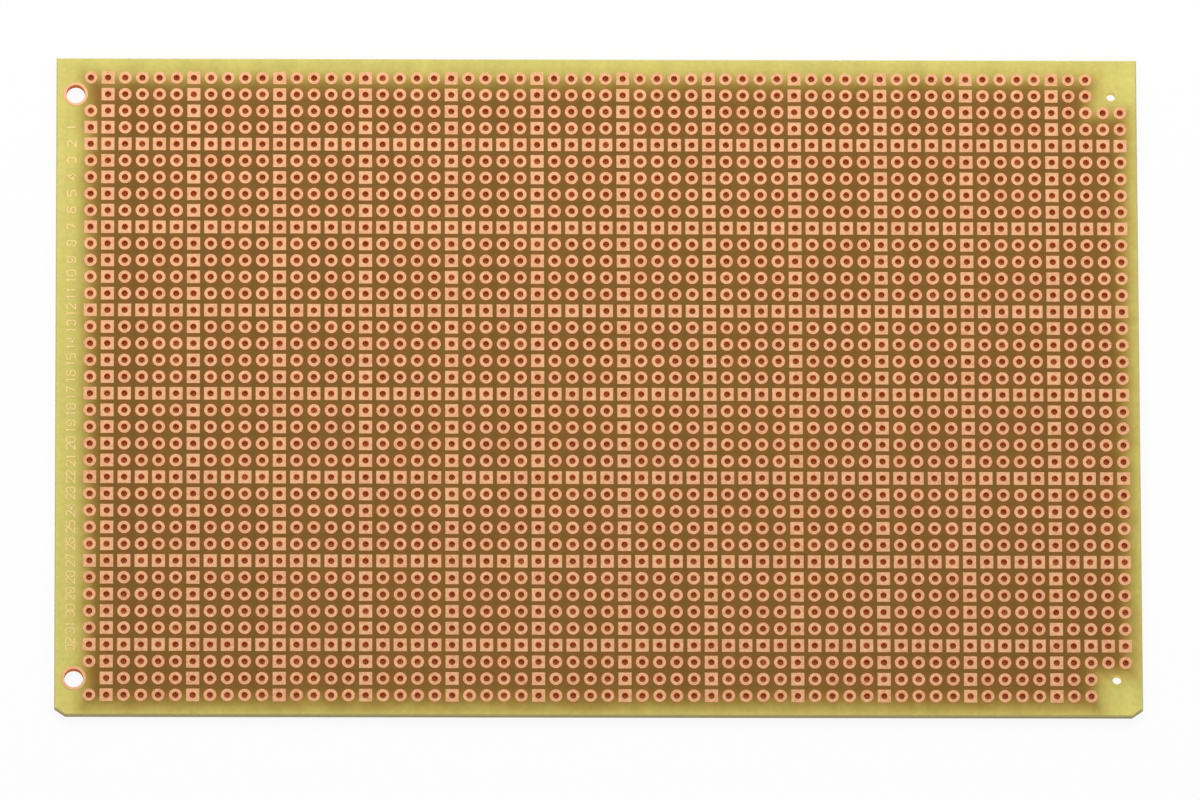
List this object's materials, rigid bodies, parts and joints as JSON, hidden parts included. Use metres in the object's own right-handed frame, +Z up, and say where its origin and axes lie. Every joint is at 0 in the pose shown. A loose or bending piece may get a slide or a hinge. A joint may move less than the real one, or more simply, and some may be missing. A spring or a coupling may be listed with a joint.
{
  "type": "prototype board",
  "caption": "Flat rectangular prototype board with a full grid of plated-through round and square copper pads, two plated mounting holes and two tooling holes.",
  "frame": {"origin": "under the middle of the board, on the plane that the lower copper rests on", "axes": "+X along the long side towards the tooling holes, +Y towards pad row 1, +Z up through the side the picture shows"},
  "size_m": [0.16, 0.1, 0.0016],
  "materials": {
    "laminate": "glass-epoxy laminate, translucent yellow-green, satin",
    "copper": "bare copper with a thin protective film, satin"
  },
  "bodies": {
    "root": {"laminate": "laminate", "pad_row_01": "copper", "pad_row_02": "copper", "pad_row_03": "copper", "pad_row_04": "copper", "pad_row_05": "copper", "pad_row_06": "copper", "pad_row_07": "copper", "pad_row_08": "copper", "pad_row_09": "copper", "pad_row_10": "copper", "pad_row_11": "copper", "pad_row_12": "copper", "pad_row_13": "copper", "pad_row_14": "copper", "pad_row_15": "copper", "pad_row_16": "copper", "pad_row_17": "copper", "pad_row_18": "copper", "pad_row_19": "copper", "pad_row_20": "copper", "pad_row_21": "copper", "pad_row_22": "copper", "pad_row_23": "copper", "pad_row_24": "copper", "pad_row_25": "copper", "pad_row_26": "copper", "pad_row_27": "copper", "pad_row_28": "copper", "pad_row_29": "copper", "pad_row_30": "copper", "pad_row_31": "copper", "pad_row_32": "copper", "pad_row_33": "copper", "pad_row_34": "copper", "pad_row_35": "copper", "pad_row_36": "copper", "pad_row_37": "copper", "pad_row_38": "copper", "mounting_eyelet_upper": "copper", "mounting_eyelet_lower": "copper"}
  },
  "joints": []
}
